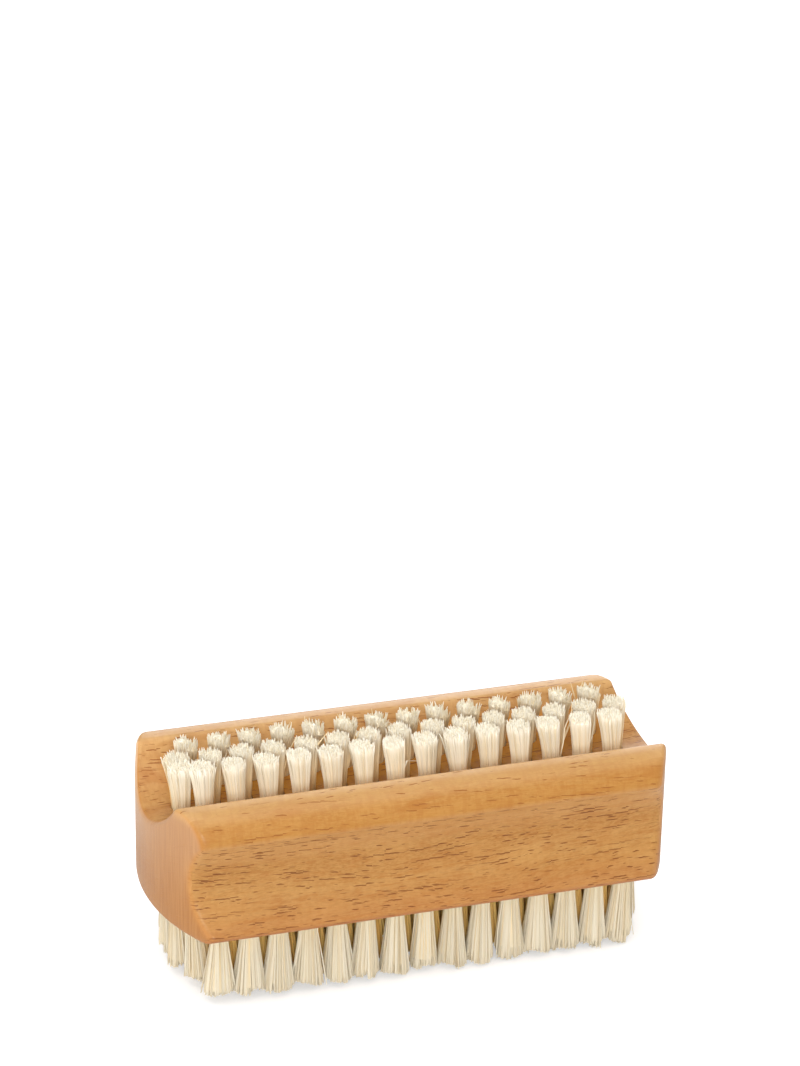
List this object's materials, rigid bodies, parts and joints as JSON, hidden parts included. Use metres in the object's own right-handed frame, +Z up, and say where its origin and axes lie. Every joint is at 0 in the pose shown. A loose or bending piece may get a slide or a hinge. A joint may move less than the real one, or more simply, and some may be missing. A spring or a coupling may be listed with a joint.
{
  "type": "nail brush",
  "caption": "Two-sided wooden nail brush: a grooved block with a bristle channel on top and a field of longer bristles below.",
  "frame": {"origin": "under the middle of the brush, on the plane of the lower bristle tips", "axes": "+X along the block, -Y the long side that faces the picture's camera, +Z up through the channel bristles"},
  "size_m": [0.095, 0.0434, 0.0421],
  "materials": {
    "beech": "oiled, satin, fine dark flecks along the grain",
    "upper_bristle": "ivory natural bristle, trimmed tips",
    "lower_bristle": "cream natural bristle, trimmed tips",
    "anchor_wire": "drawn flat wire"
  },
  "bodies": {
    "root": {"wood_block": "beech", "top_front_bristles": "upper_bristle", "top_middle_bristles": "upper_bristle", "top_back_bristles": "upper_bristle", "top_odd_bristles": "upper_bristle", "bottom_bristles_1": "lower_bristle", "bottom_bristles_2": "lower_bristle", "bottom_bristles_3": "lower_bristle", "bottom_bristles_4": "lower_bristle", "bottom_bristles_5": "lower_bristle", "bottom_bristles_6": "lower_bristle", "top_front_anchors": "anchor_wire", "top_middle_anchors": "anchor_wire", "top_back_anchors": "anchor_wire", "top_odd_anchor": "anchor_wire", "bottom_anchors_1": "anchor_wire", "bottom_anchors_2": "anchor_wire", "bottom_anchors_3": "anchor_wire", "bottom_anchors_4": "anchor_wire", "bottom_anchors_5": "anchor_wire", "bottom_anchors_6": "anchor_wire"}
  },
  "joints": []
}
